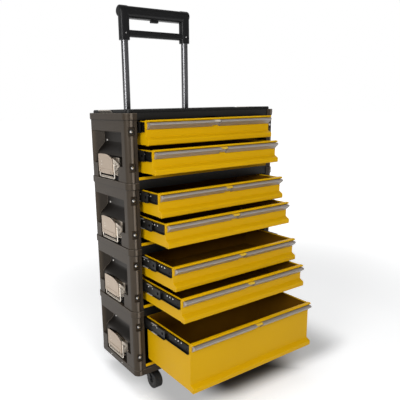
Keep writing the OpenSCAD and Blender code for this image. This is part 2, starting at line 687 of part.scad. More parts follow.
// Frame of one latch: children are drawn as (inward, height) along the depth
module latch_frame(k, side) translate([0, 0, module_z(k)]) mirror([side > 0 ? 1 : 0, 0, 0]) children();
ear_y = latch_w/2 - 12;
module latch_bracket() {
    back = grip_depth - 1.5;
    difference() {
        along_side(latch_y - ear_y - 3, latch_y + ear_y + 3) translate([back, 8]) square([1.5, 50]);
        for (z = [38, 50]) translate([-side_x, latch_y, z]) rotate([0, 90, 0]) cylinder(h = 30, r = 2.4);
    }
    for (y = [latch_y - ear_y - 1.5, latch_y + ear_y]) along_side(y, y + 1.5) difference() {
        union() {
            translate([hinge_in, hinge_z]) circle(3.4);
            polygon([[hinge_in, hinge_z - 3.4], [back + 0.5, hinge_z - 9], [back + 0.5, hinge_z + 34],
                     [back - 5, hinge_z + 30], [hinge_in + 9, hinge_z + 6], [hinge_in + 1, hinge_z + 3.2]]);
        }
        translate([hinge_in, hinge_z]) circle(hinge_pin_r - 0.1);
        translate([back - 8, hinge_z + 6]) circle(4);
    }
    translate([-side_x + hinge_in, latch_y - ear_y - 2.6, hinge_z]) rotate([-90, 0, 0])
        cylinder(h = 2*ear_y + 5.2, r = hinge_pin_r);
}
module latch_brackets() color("#9b958b") for (k = [1:modules], side = [-1, 1])
    latch_frame(k, side) latch_bracket();

// Stamped lever: barrel round the hinge pin, plate with an arched top, folded cheeks
lever_t = 1.5;
plate_in = hinge_in - 4.9;             // outer face of the plate
function lever_top(y) = lever_h - 13*pow(max(0, -y/(latch_w/2))*1.0, 2.4) - 2.5*pow(max(0, y/(latch_w/2)), 4);
// Folded cheek, as (inward, height above the hinge): a deep gusset with its tip behind the plate
cheek = [[plate_in + 0.5, 1.5], [hinge_in + 5, 5], [hinge_in + 9, 9.5], [hinge_in + 15.6, 18.5],
         [hinge_in + 16.4, 21], [hinge_in + 15.2, 23.4], [hinge_in + 1.5, 39], [plate_in + 0.5, 41.5]];
module latch_lever(k, side) color("#b3a795") latch_frame(k, side) {
    half = latch_w/2;
    difference() {
        union() {
            // plate with its arched top edge, notched beside the barrel for the bracket's ears
            translate([-side_x + plate_in, latch_y, hinge_z]) rotate([90, 0, 90]) linear_extrude(lever_t)
                polygon(concat([[-half, -1], [-ear_y - 2.2, -1], [-ear_y - 2.2, 6], [-ear_y + run, 6],
                    [-ear_y + run, 0], [ear_y - run, 0], [ear_y - run, 6], [ear_y + 2.2, 6],
                    [ear_y + 2.2, -1], [half, -1]],
                    [for (n = [0:16]) let (y = half - 2*half*n/16) [y, lever_top(y)]]));
            translate([-side_x + hinge_in, latch_y - ear_y + run, hinge_z]) rotate([-90, 0, 0])
                cylinder(h = 2*(ear_y - run), r = 4.9);
            // pressed bead above the foot of the plate
            along_side(latch_y - half + 6, latch_y + half - 6)
                translate([plate_in + 0.2, hinge_z + 9]) circle(1.1);
            for (y = [latch_y - half, latch_y + half - lever_t]) along_side(y, y + lever_t)
                difference() {
                    polygon([for (p = cheek) [p[0], p[1] + hinge_z]]);
                    translate([hinge_in + 7, hinge_z + 19]) circle(2.6);
                }
        }
        translate([-side_x + hinge_in, 0, hinge_z]) rotate([-90, 0, 0])
            cylinder(h = stack_d, r = hinge_pin_r + pin_clear);
        translate([-side_x + hinge_in, 0, hinge_z + bail_pivot]) rotate([-90, 0, 0])
            cylinder(h = stack_d, r = bail_d/2 + pin_clear);
    }
}
// Wire bail: a bar under the keeper's lip, an arm up each side of the lever, ends through the cheeks
module latch_bail(k, side) color("#c9bb9c") latch_frame(k, side)
    translate([-side_x + hinge_in, latch_y, hinge_z]) {
        r = bail_d/2;
        bend = 4;
        top_bend = r + 0.25;           // tight, so that it clears the cheek
        translate([0, -bail_arm_y + bend, -bail_drop]) rotate([-90, 0, 0])
            cylinder(h = 2*(bail_arm_y - bend), r = r);
        for (s = [-1, 1]) mirror([0, s > 0 ? 0 : 1, 0]) {
            translate([0, bail_arm_y, -bail_drop + bend])
                cylinder(h = bail_drop - bend + bail_pivot - top_bend, r = r);
            translate([0, bail_arm_y - bend, -bail_drop + bend]) wire_bend(bend, r, 0);
            translate([0, bail_arm_y - top_bend, bail_pivot - top_bend]) wire_bend(top_bend, r, 90);
            translate([0, bail_arm_y - top_bend, bail_pivot]) rotate([90, 0, 0])
                cylinder(h = lever_t + 1.5, r = r);
        }
    }
// Quarter bend of the wire in the plane across the box, from angle a on
module wire_bend(bend, r, a) rotate([0, 90, 0]) rotate([0, 0, a])
    rotate_extrude(angle = 90) translate([bend, 0]) circle(r);

// ---------- telescopic handle ----------

sleeve_z = base_z + 2;
module handle_sleeves() color("#2c2b2b") {
    both_sides() translate([-tube_spacing/2, tube_y, 0]) difference() {
        union() {
            translate([0, 0, sleeve_z]) cylinder(h = collar_top - 4 - sleeve_z, r = sleeve_r);
            translate([0, 0, collar_top - collar_h]) cylinder(h = collar_h - 1.5, r = collar_r);
            translate([0, 0, collar_top - 1.5]) cylinder(h = 1.5, r = collar_r - 1.5);
        }
        translate([0, 0, sleeve_z + 3]) cylinder(h = stack_top, r = sleeve_r - sleeve_wall);
    }
    // cross-ties with a row of lightening slots
    for (z = [rim_z + 60, stack_top - 150]) difference() {
        translate([-tube_spacing/2 + sleeve_r - 1, tube_y - 4, z]) cube([tube_spacing - 2*sleeve_r + 2, 3, 60]);
        for (n = [-1:1]) translate([n*tube_spacing/4, tube_y - 6, z + 30]) rotate([-90, 0, 0])
            linear_extrude(8) round_plan(-20, -15, 40, 30, 6);
    }
}
tube_in_grip = grip_h - 34;
tube_low = collar_top - 96;
module handle_tubes() color("#c3c2c0") both_sides() translate([-tube_spacing/2, tube_y, 0]) difference() {
    union() {
        translate([0, 0, tube_low + 26]) cylinder(h = grip_z + tube_in_grip - tube_low - 26, r = tube_d/2);
        translate([0, 0, tube_low]) cylinder(h = 26, r = tube_d/2 + 0.4);
    }
    translate([0, 0, tube_low - 1]) cylinder(h = grip_z + tube_in_grip - tube_low + 2, r = tube_d/2 - 1.5);
}

leg_w = tube_d + 9;
leg_d = tube_d + 4;
bar_d = 36;
bar_h = 34.5;
bar_y = 5;                             // the bar stands back from the legs
cap_r = 17;
tie_h = 20;
bar_z = grip_z + grip_h - cap_r;       // middle of the corner caps
bar_low = bar_z + cap_r - 2.5 - bar_h; // underside of the top bar
tie_z = bar_low - hand_hole_h - tie_h;
button_w = 24;
button_d = 13;
button_out = 7;
module handle_grip() color("#1f1f20") translate([0, tube_y, 0]) difference() {
    union() {
        both_sides() {
            translate([-tube_spacing/2, 0, grip_z]) linear_extrude(bar_z - grip_z)
                round_plan(-leg_w/2, -leg_d/2, leg_w, leg_d, 9);
            // rounded corner caps
            translate([-tube_spacing/2, bar_y - 1, bar_z]) rotate([0, 90, 0]) rotate_extrude()
                polygon(concat([[0, -leg_w/2 - 1]], arc(cap_r - 6, -leg_w/2 + 5, 6, -90, 0, 6),
                    arc(cap_r - 4, leg_w/2 - 4, 4, 0, 90, 5), [[0, leg_w/2]]));
        }
        // top bar: rounded section, flat under the fingers
        across(-tube_spacing/2, tube_spacing/2) translate([bar_y, bar_low])
            round_plan(-bar_d/2, 0, bar_d, bar_h, 11);
        // lower tie
        across(-tube_spacing/2 + 8, tube_spacing/2 - 8) translate([0, tie_z])
            round_plan(-leg_d/2 + 3, 0, leg_d - 6, tie_h, 5);
    }
    both_sides() translate([-tube_spacing/2, 0, grip_z - 1]) cylinder(h = tube_in_grip + 1.5, r = tube_d/2 + 0.05);
    translate([-button_w/2 - 0.4, bar_y - button_d/2 - 0.4, bar_low - 1])
        cube([button_w + 0.8, button_d + 0.8, 15 + button_travel]);
    // seats of the two screws that clamp the tubes
    both_sides() translate([-tube_spacing/2, -leg_d/2 - 1, tie_z + tie_h/2])
        rotate([-90, 0, 0]) cylinder(h = 1.8, r = grip_screw_r + 0.4);
}
grip_screw_r = 2.4;
// Release button in the underside of the top bar
module handle_button() color("#18181a") translate([0, tube_y + bar_y, bar_low]) {
    across(-button_w/2, button_w/2) translate([0, -button_out])
        round_plan(-button_d/2, 0, button_d, button_out + 13, 2.5);
}

// ---------- drawing ----------

module place() translate([0, shift_y, 0]) children();
function side_name(s) = s < 0 ? "left" : "right";

place() base_frame();
place() castor_brackets();
for (s = [-1, 1]) {
    place() castor_fork(s);
    place() front_wheel(s);
    place() back_wheel(s);
    place() side_panels(s);
}
for (k = [1:modules]) {
    place() module_shell(k);
    for (s = [-1, 1]) {
        place() latch_lever(k, s);
        place() latch_bail(k, s);
    }
}
place() front_sills();
place() panel_fasteners();
place() cabinet_slides();
place() latch_brackets();
place() latch_keepers();
for (i = [1:drawers]) {
    place() drawer(i);
    place() drawer_slides(i);
    place() drawer_catch(i);
}
place() handle_sleeves();
place() handle_tubes();
place() handle_grip();
place() handle_button();
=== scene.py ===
"""Rolling tool box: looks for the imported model, in the order in which the real one goes together."""
import math

import bmesh
import bpy
import numpy as np
from mathutils import Matrix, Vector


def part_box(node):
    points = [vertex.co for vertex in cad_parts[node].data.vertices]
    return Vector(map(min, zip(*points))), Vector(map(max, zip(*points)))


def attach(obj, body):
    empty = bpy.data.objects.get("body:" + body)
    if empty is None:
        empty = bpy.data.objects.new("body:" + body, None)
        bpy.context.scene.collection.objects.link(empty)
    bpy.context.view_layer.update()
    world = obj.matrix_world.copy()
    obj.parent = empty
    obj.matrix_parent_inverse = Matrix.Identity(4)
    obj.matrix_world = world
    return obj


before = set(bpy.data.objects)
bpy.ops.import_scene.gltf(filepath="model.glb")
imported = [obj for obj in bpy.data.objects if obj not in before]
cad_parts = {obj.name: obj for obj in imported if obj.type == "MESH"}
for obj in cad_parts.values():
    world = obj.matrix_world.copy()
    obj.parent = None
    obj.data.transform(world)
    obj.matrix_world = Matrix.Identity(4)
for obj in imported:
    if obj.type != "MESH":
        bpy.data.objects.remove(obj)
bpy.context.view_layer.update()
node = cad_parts

# Camera: the view from the front left, a little above the top of the stack.
camera_data = bpy.data.cameras.new("view")
camera_data.sensor_width = 36.0
camera_data.lens = 42.92
camera_data.shift_x = 0.065
camera_data.shift_y = 0.032
camera = bpy.data.objects.new("view", camera_data)
bpy.context.scene.collection.objects.link(camera)
yaw, pitch, roll = (math.radians(v) for v in (33.98, 12.74, -1.18))
ahead = np.array([math.sin(yaw) * math.cos(pitch), math.cos(yaw) * math.cos(pitch), -math.sin(pitch)])
right = np.array([math.cos(yaw), -math.sin(yaw), 0.0])
above = np.cross(right, ahead)
right, above = (math.cos(roll) * right + math.sin(roll) * above,
                -math.sin(roll) * right + math.cos(roll) * above)
turn = np.eye(4)
turn[:3, 0], turn[:3, 1], turn[:3, 2] = right, above, -ahead
turn[:3, 3] = (-0.8473, -1.1092, 0.8238)
camera.matrix_world = Matrix(turn.tolist())
camera_data.clip_start, camera_data.clip_end = 0.01, 60
bpy.context.scene.camera = camera
bpy.context.scene.view_settings.view_transform = "Standard"

# Floor: plain pale paper that keeps the soft shadow of the box and runs out into white. A shadow is also
# painted on it: its colour is dark right under the base, and its own light rises with the distance from the
# stack.


class Wire:
    """One shader value: arithmetic on wires adds Math nodes to the material's tree."""

    def __init__(self, tree, socket=None):
        self.tree, self.socket = tree, socket

    def node(self, kind, settings=None, inputs=None, out=0):
        """Any node: its settings go on first, then the values or wires of its sockets."""
        made = self.tree.nodes.new("ShaderNode" + kind)
        for name, value in (settings or {}).items():
            setattr(made, name, value)
        for key, value in (inputs or {}).items():
            if isinstance(value, Wire):
                self.tree.links.new(value.socket, made.inputs[key])
            else:
                made.inputs[key].default_value = value
        return Wire(self.tree, made.outputs[out])

    def maths(self, operation, *values):
        """A Math node on these values."""
        return self.node("Math", {"operation": operation}, dict(enumerate(values)))

    def __add__(self, other):
        return self.maths("ADD", self, other)

    def __radd__(self, other):
        return self.maths("ADD", other, self)

    def __sub__(self, other):
        return self.maths("SUBTRACT", self, other)

    def __rsub__(self, other):
        return self.maths("SUBTRACT", other, self)

    def __mul__(self, other):
        return self.maths("MULTIPLY", self, other)

    def __rmul__(self, other):
        return self.maths("MULTIPLY", other, self)

    def fade(self, start, end, low=0.0, high=1.0):
        """Smooth step from low to high while the value goes from start to end."""
        return self.node("MapRange", {"interpolation_type": "SMOOTHSTEP"},
                         {"Value": self, "From Min": start, "From Max": end, "To Min": low, "To Max": high})

    def over(self, edge, soft=0.0004):
        """1 where the value is above the edge, 0 below it, with a short smooth step."""
        return self.fade(edge - soft, edge + soft)

    def between(self, low, high, soft=0.00005):
        """1 where the value lies from low to high."""
        return self.over(low, soft) * (1 - self.over(high, soft))

    def size(self):
        """The value without its sign."""
        return self.maths("ABSOLUTE", self)

    def larger(self, other):
        """The larger of two values; of two masks, where either is 1."""
        return self.maths("MAXIMUM", self, other)

    def noise(self, scale, detail=3.0, rough=0.5, stretch=(1, 1, 1)):
        """Noise on the piece's own metres, from 0 to 1."""
        place = self.node("Mapping", None, {"Vector": self, "Scale": stretch})
        return self.node("TexNoise", None, {"Vector": place, "Scale": scale, "Detail": detail,
                                            "Roughness": rough}, out="Fac")

    def blend(self, low, high):
        """Colour from low to high as this wire goes from 0 to 1."""
        ends = {6: low, 7: high}
        ends = {key: (*end, 1.0) if isinstance(end, tuple) else end for key, end in ends.items()}
        return self.node("Mix", {"data_type": "RGBA"}, {0: self, **ends}, out=2)

    def bump(self, height, strength, distance=0.0004):
        """Surface normal over a height map, with its full height in metres as distance."""
        return self.node("Bump", None, {"Height": height, "Strength": strength,
                                        "Distance": distance}, out="Normal")


paper = bpy.data.materials.new("paper_floor")
paper.use_nodes = True
start = Wire(paper.node_tree)
metres = start.node("TexCoord", out="Object")
x, y = (metres.node("SeparateXYZ", None, {"Vector": metres}, out=letter) for letter in "XY")
# the dim rectangle under the stack, and how much faster the light comes up to its left and front
dim_x, dim_half_width, left_pace = 0.14, 0.22, 1.7
dim_front, dim_back, front_pace = -0.13, 0.19, 2.4
beside = ((x - dim_x).larger((dim_x - x) * left_pace) - dim_half_width).larger(0)
ahead_of = (y - dim_back).larger((dim_front - y) * front_pace).larger(0)
squared = beside * beside + ahead_of * ahead_of
away = squared.maths("POWER", squared, 0.5)
seen = start.node("LightPath", out="Is Camera Ray").larger(start.node("LightPath", out="Is Glossy Ray"))
seen = seen.larger(start.node("LightPath", out="Is Transmission Ray"))
# painted shadow: the floor's own glow is dimmest close to the stack
near, far = away.fade(0.02, 0.22, high=0.42), away.fade(0.5, 2.0, high=0.58)
# painted shadow: the darkest shade, right under the base, is in the floor's colour
shade_half_width, shade_y, shade_half_depth = 0.22, 0.01, 0.185
off_base = (x.size() - shade_half_width).larger((y - shade_y).size() - shade_half_depth)
painted_floor_shadow = off_base.fade(-0.06, 0.05)
matt = start.node("BsdfDiffuse", None, {"Color": painted_floor_shadow.blend((0.05, 0.05, 0.05), (0.793, 0.80, 0.808))})
glow = start.node("Emission", None, {"Color": (1, 1, 1, 1), "Strength": seen * (near + far)})
surface = start.node("AddShader", None, {0: matt, 1: glow})
paper.node_tree.links.new(surface.socket, paper.node_tree.nodes["Material Output"].inputs["Surface"])
floor_mesh = bpy.data.meshes.new("floor")
floor_reach, floor_lines = 30, 13
lines = np.linspace(-floor_reach, floor_reach, floor_lines)
across, along = np.meshgrid(lines, lines)
corner = np.arange(floor_lines ** 2).reshape(floor_lines, floor_lines)
floor_faces = np.stack([corner[:-1, :-1], corner[:-1, 1:], corner[1:, 1:], corner[1:, :-1]], axis=-1)
floor_mesh.from_pydata(np.stack([across, along, 0 * across], axis=-1).reshape(-1, 3).tolist(), [],
                       floor_faces.reshape(-1, 4).tolist())
floor_mesh.materials.append(paper)
floor = bpy.data.objects.new("floor", floor_mesh)
bpy.context.scene.collection.objects.link(floor)

# Studio: a soft box on the left, one nearly as strong in front and a broad, weaker one overhead;
# only the left one shows in reflections. The room is white to the camera, and in reflections it is
# white behind the box and dim behind the camera.
for name, place, aim, size, power in (
        ("left_box", (-2.7, -1.1, 1.3), (0, 0, 0.4), 1.1, 44),
        ("front_box", (-0.9, -2.3, 2.0), (0, 0, 0.4), 1.2, 40),
        ("top_box", (-0.3, 0.1, 2.8), (0, 0, 0), 1.6, 24)):
    lamp = bpy.data.lights.new(name, "AREA")
    lamp.energy, lamp.size = power, size
    holder = bpy.data.objects.new(name, lamp)
    back = np.array(place, float) - np.array(aim, float)
    back /= np.linalg.norm(back)
    side = np.cross((0, 0, 1.0), back)
    side /= np.linalg.norm(side)
    stand = np.eye(4)
    stand[:3, 0], stand[:3, 1], stand[:3, 2], stand[:3, 3] = side, np.cross(back, side), back, place
    holder.matrix_world = Matrix(stand.tolist())
    holder.visible_glossy = name == "left_box"
    bpy.context.scene.collection.objects.link(holder)
world = bpy.data.worlds.new("studio")
bpy.context.scene.world = world
world.use_nodes = True
room = Wire(world.node_tree)
path = {kind: room.node("LightPath", out=f"Is {kind} Ray") for kind in ("Camera", "Glossy", "Transmission")}
behind = room.node("VectorMath", {"operation": "DOT_PRODUCT"}, {
    0: room.node("TexCoord", out="Generated"), 1: (0.5, 0.86, 0)}, out="Value")
mirrored = path["Glossy"].larger(path["Transmission"]) * behind.fade(0.3, 0.85, low=0.08)
room_light = 0.18
background = world.node_tree.nodes["Background"]
background.inputs["Color"].default_value = (1, 1, 1, 1)
world.node_tree.links.new(path["Camera"].larger(mirrored).larger(room_light).socket,
                          background.inputs["Strength"])

# Castors: bent steel forks in black zinc, which swivel under plates at the front and are fixed
# at the back, with rubber treads on dark grey hubs that turn on plain axles.


def new_material(name, **fixed):
    """A material with its surface shader's plain values set; returns it, the shader and its metres."""
    made = bpy.data.materials.new(name)
    made.use_nodes = True
    shader = made.node_tree.nodes["Principled BSDF"]
    for key, value in fixed.items():
        shader.inputs[key.replace("_", " ")].default_value = value
    return made, shader, Wire(made.node_tree).node("TexCoord", out="Object")


def feed(material, shader, **wires):
    """Joins wires to the surface shader's sockets."""
    for key, wire in wires.items():
        material.node_tree.links.new(wire.socket, shader.inputs[key.replace("_", " ")])


def axis_of(metres, letter):
    """One coordinate in metres, x, y or z."""
    return metres.node("SeparateXYZ", None, {"Vector": metres}, out=letter.upper())


def dress(material, *names):
    """Gives CAD pieces this finish."""
    for name in names:
        slots = node[name].data.materials
        slots.clear()
        slots.append(material)


zinc, shader, metres = new_material("black_zinc", Metallic=0.8, Roughness=0.4)
speckle = metres.noise(260, 3)
feed(zinc, shader, Base_Color=speckle.blend((0.030, 0.029, 0.029), (0.07, 0.068, 0.064)),
     Roughness=0.34 + speckle * 0.2)
dress(zinc, "castor_brackets", "castor_fork_left", "castor_fork_right")
for name in ("front_wheel_left", "front_wheel_right", "back_wheel_left", "back_wheel_right"):
    low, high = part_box(name)
    middle_y, middle_z, reach = (low.y + high.y) / 2, (low.z + high.z) / 2, (high.z - low.z) / 2
    tread, shader, metres = new_material("tread_" + name, Roughness=0.6)
    y, z = axis_of(metres, "y") - middle_y, axis_of(metres, "z") - middle_z
    hub_radius = reach * 0.68
    rubber = (y * y + z * z).over(hub_radius ** 2, 0.00002)
    scuff = metres.noise(120, 4)
    black = scuff.blend((0.010, 0.010, 0.010), (0.022, 0.021, 0.020))
    feed(tread, shader, Base_Color=rubber.blend((0.07, 0.068, 0.066), black),
         Roughness=0.42 + rubber * 0.25 + scuff * 0.08,
         Normal=metres.bump(metres.noise(500, 2) * rubber, 0.3))
    dress(tread, name)

# Base and side mouldings: structural plastic, moulded in a warm dark brown-grey with a
# fine spark-eroded grain; each moulding is screwed on through its own corner bead. Painted into
# the colour are shade in the hand grips and beside the beads, and highlights on the bead crests,
# the rim tops and the grip edges.
plastic, shader, metres = new_material("moulded_plastic", Roughness=0.5, Specular_IOR_Level=0.24,
                                        Specular_Tint=(1.0, 0.86, 0.72, 1.0))
grain = metres.noise(900, 2)
cloud = metres.noise(9, 4, 0.6)
half_width, bead_inwards, front_inset, recess_shade_inwards, recess_shade_back = 0.260, 0.014, 0.0045, 0.0065, 0.006
lowest_seam, module_pitch, rim_height = 0.086, 0.18, 0.0189
inwards = half_width - axis_of(metres, "x").size()
back = axis_of(metres, "y") - (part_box("side_panels_left")[0].y + front_inset)
# five pitches more keep the height over the lowest seam above 0 down to the floor
lifted = axis_of(metres, "z") + (5 * module_pitch - lowest_seam)
above_seam = lifted.maths("MODULO", lifted, module_pitch)
# painted shade: the colour is darker where the surface lies well in from the outer side face, as in the hand
# grips
recess_shade = inwards.over(recess_shade_inwards, 0.0055) * back.over(recess_shade_back, 0.003)
off_bead = (inwards - bead_inwards).size()
# painted highlight: a pale stripe along the crest of each corner bead
bead_highlight = (1 - off_bead.over(0.0034, 0.0014)) * (1 - back.over(-0.0004, 0.0004))
# painted shade: a dark line in the crease on each side of the bead
bead_crease_shade = off_bead.between(0.0046, 0.0062, 0.0004) * back.between(-0.0006, 0.0012, 0.0003)
rim_line = module_pitch - rim_height
seam = above_seam.between(rim_line, rim_line + 0.0014, 0.0003)
seam = seam.larger(above_seam.over(module_pitch - 0.0003, 0.0002))
# painted highlight: a pale line along the top edge of each rim
rim_highlight = above_seam.between(module_pitch - 0.0012, module_pitch - 0.0005, 0.0002)
hood_slope, hood_foot, recess_foot, recess_top = 0.93, 0.208, 0.066, 0.129
lip_line = back - hood_foot + inwards * hood_slope
# painted highlight: a pale line along the slanted edge of each hand-grip recess
edge = lip_line.between(-0.0022, -0.0004, 0.0003) * inwards.over(0.005)
edge = edge * above_seam.between(recess_foot, recess_top, 0.001)
skin = cloud.blend((0.029, 0.0218, 0.0152), (0.039, 0.0298, 0.0212))
skin = recess_shade.blend(skin, (0.0045, 0.0034, 0.0026))
skin = rim_highlight.larger(edge).larger(bead_highlight).blend(skin, (0.125, 0.103, 0.082))
feed(plastic, shader,
     Base_Color=seam.larger(bead_crease_shade).blend(skin, (0.006, 0.005, 0.0045)),
     Roughness=0.30 + grain * 0.16 + cloud * 0.06,
     Normal=metres.bump(grain, 0.2))
dress(plastic, "base_frame", "side_panels_left", "side_panels_right")

# Module cabinets and handle sleeves: folded sheet steel, and steel tubes joined by two slotted
# ties, both powder coated black with a soft orange peel.
powder, shader, metres = new_material("black_powder", Roughness=0.4, Specular_IOR_Level=0.3)
peel = metres.noise(420, 2)
cloud = metres.noise(6, 3)
feed(powder, shader, Base_Color=cloud.blend((0.004, 0.0038, 0.0034), (0.008, 0.0076, 0.0068)),
     Roughness=0.36 + cloud * 0.1 + peel * 0.06, Normal=metres.bump(peel, 0.2))
dress(powder, *[f"module_shell_{k}" for k in range(1, 5)], "handle_sleeves")

# Sills: a yellow angle strip across the foot of each opening, folded from sheet and sprayed in
# one batch with the drawers.


def sprayed_yellow(drift):
    """The drawers' yellow, a little uneven from the spray gun."""
    return drift.blend((0.58, 0.322, 0.0008), (0.64, 0.362, 0.0012))


sill_paint, shader, metres = new_material("sill_paint", Roughness=0.36, Specular_IOR_Level=0.1)
drift = metres.noise(5, 3)
feed(sill_paint, shader, Base_Color=sprayed_yellow(drift), Roughness=0.34 + drift * 0.08)
dress(sill_paint, "front_sills")

# Fasteners: dome-headed bolts in bright zinc on black washers, one pair in each bead,
# with a screw in each hand grip and two on each side of the base.
bolt, shader, metres = new_material("bright_zinc", Metallic=0.85, Roughness=0.25)
off_middle, depth = axis_of(metres, "x").size(), axis_of(metres, "y")
head_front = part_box("panel_fasteners")[0].y
washer_front, washer_back, bead_inner, bead_outer = 0.00275, 0.0045, 0.238, 0.254
washer = depth.between(head_front + washer_front, head_front + washer_back)
washer = washer * off_middle.between(bead_inner, bead_outer)
wear = metres.noise(300, 2)
feed(bolt, shader, Base_Color=washer.blend(wear.blend((0.42, 0.40, 0.38), (0.60, 0.58, 0.55)),
                                           (0.008, 0.0075, 0.007)),
     Metallic=0.85 - washer * 0.8, Roughness=0.2 + wear * 0.16 + washer * 0.2)
dress(bolt, "panel_fasteners")

# Slides: cold-rolled steel channels in black with a film of grease on the races; the middle
# members carry two bright rivets each.


def greased_black(streak):
    """The slides' black steel, from dry to greased."""
    return streak.blend((0.004, 0.0037, 0.0033), (0.010, 0.0092, 0.0082))


channel, shader, metres = new_material("slide_steel", Roughness=0.38, Specular_IOR_Level=0.3)
streak = metres.noise(60, 3, 0.5, (1, 0.12, 1))
feed(channel, shader, Base_Color=greased_black(streak), Roughness=0.3 + streak * 0.22)
dress(channel, "cabinet_slides")
member_face, rivets_from, rivets_to = 0.2245, 0.035, 0.062
for i in range(1, 8):
    front_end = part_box(f"drawer_slides_{i}")[0].y
    member, shader, metres = new_material(f"slide_member_{i}", Roughness=0.38, Specular_IOR_Level=0.3)
    streak = metres.noise(60, 3, 0.5, (1, 0.12, 1))
    rivet = axis_of(metres, "x").size().over(member_face, 0.00008)
    rivet = rivet * axis_of(metres, "y").between(front_end + rivets_from, front_end + rivets_to, 0.0002)
    feed(member, shader, Base_Color=rivet.blend(greased_black(streak), (0.62, 0.60, 0.56)),
         Metallic=rivet * 0.7, Roughness=0.3 + streak * 0.22 - rivet * 0.08)
    dress(member, f"drawer_slides_{i}")

# Drawers: folded sheet, sprayed yellow outside, with painted shade in dark brown inside the tray;
# under the lip runs an extruded aluminium strip, and the black slide members are riveted to the sides.
tray_half_width, sheet, hem_half_width, strip_half_width = 0.2170, 0.0010, 0.2142, 0.2134
nose_out, tray_length = 0.017, 0.2040
strip_top, strip_foot, slide_top, slide_foot = 0.0064, 0.0236, 0.0045, 0.0306
covered_from, covered_to, inside_top, floor_over, hem_foot = 0.0045, 0.1955, 0.0022, 0.0021, 0.0053
rivet_places, rivet_reach = (0.036, 0.050, 0.062), 0.0023
rivet_out, rivet_top, rivet_foot = 0.0013, 0.0102, 0.0150
for i in range(1, 8):
    low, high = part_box(f"drawer_{i}")
    face_y, lip_z, height = low.y + nose_out, high.z, high.z - low.z
    paint, shader, metres = new_material(f"drawer_paint_{i}", Roughness=0.35, Specular_IOR_Level=0.1)
    off_middle = axis_of(metres, "x").size()
    forward, down = face_y - axis_of(metres, "y"), lip_z - axis_of(metres, "z")
    member = off_middle.over(tray_half_width + 0.00005, 0.00004) * down.between(slide_top, slide_foot)
    covered = off_middle.over(tray_half_width - 0.0001, 0.00004)
    covered = covered * down.between(slide_top + 0.0009, slide_foot - 0.0007)
    covered = covered * (0 - forward).between(covered_from, covered_to)
    member = member.larger(covered)
    spots = 0
    for place in rivet_places:
        spots = (forward + place).size().maths("LESS_THAN", rivet_reach).larger(spots)
    rivet = off_middle.over(tray_half_width + rivet_out, 0.00006) * spots
    rivet = rivet * down.between(rivet_top, rivet_foot)
    strip = forward.over(0.00005, 0.00002) * (1 - off_middle.over(strip_half_width, 0.00003))
    strip = strip * down.between(strip_top, strip_foot, 0.00003)
    inside = 1 - off_middle.over(tray_half_width - sheet, 0.00005)
    inside = inside * (-0.00015 - sheet - forward).over(0, 0.00005)
    inside = inside * (tray_length + forward).over(0, 0.00005)
    inside = inside * down.over(inside_top, 0.00005) * (height - floor_over - down).over(0, 0.0001)
    hem = off_middle.over(hem_half_width, 0.00005) * (1 - down.over(hem_foot, 0.00005))
    inside = inside * (1 - hem)
    brushed = metres.noise(900, 2, 0.5, (0.02, 1, 1))
    drift = metres.noise(5, 3)
    # painted shade: the inside of the tray is coloured a dark brown
    inside_shade = metres.noise(14, 4).blend((0.10, 0.042, 0.0015), (0.15, 0.066, 0.003))
    silver = brushed.blend((0.28, 0.255, 0.235), (0.42, 0.385, 0.36))
    steel = rivet.blend((0.006, 0.0055, 0.005), (0.72, 0.70, 0.66))
    colour = strip.blend(member.blend(inside.blend(sprayed_yellow(drift), inside_shade), steel), silver)
    feed(paint, shader, Base_Color=colour, Metallic=strip * 0.55 + rivet * 0.6,
         Roughness=0.34 + drift * 0.06 + inside * 0.2 + strip * (brushed * 0.12) - rivet * 0.06,
         Normal=metres.bump(metres.noise(260, 2), 0.06))
    dress(paint, f"drawer_{i}")

# Thumb catches: dished tabs moulded in the grey of the strips, with a pad on top for the thumb
# in a paler yellow than the sprayed fronts; the top drawer's pad is grey.
pad_height = 0.0062
pale_yellow, pale_grey = ((0.56, 0.36, 0.018), (0.66, 0.44, 0.035)), ((0.42, 0.39, 0.34), (0.50, 0.47, 0.41))
for i in range(1, 8):
    tab, shader, metres = new_material(f"catch_plastic_{i}", Roughness=0.4, Specular_IOR_Level=0.3)
    pad = axis_of(metres, "z").over(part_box(f"drawer_catch_{i}")[1].z - pad_height, 0.0002)
    soft = metres.noise(40, 3)
    grey = soft.blend((0.26, 0.235, 0.21), (0.34, 0.31, 0.28))
    thumb = soft.blend(*(pale_grey if i == 1 else pale_yellow))
    feed(tab, shader, Base_Color=pad.blend(grey, thumb), Roughness=0.34 + soft * 0.12)
    dress(tab, f"drawer_catch_{i}")

# Draw latches: levers and brackets stamped from sheet steel in a warm, tumbled nickel, with wire
# bails that hook on the keepers; bails and keepers are brighter than the rest. The cheeks behind the
# plates are coloured pale and less metallic, a painted highlight.
sides = ("left", "right")
nickel, shader, metres = new_material("warm_nickel", Metallic=0.55, Roughness=0.4)
tumble = metres.noise(220, 4, 0.6)
plate_back = 0.2586
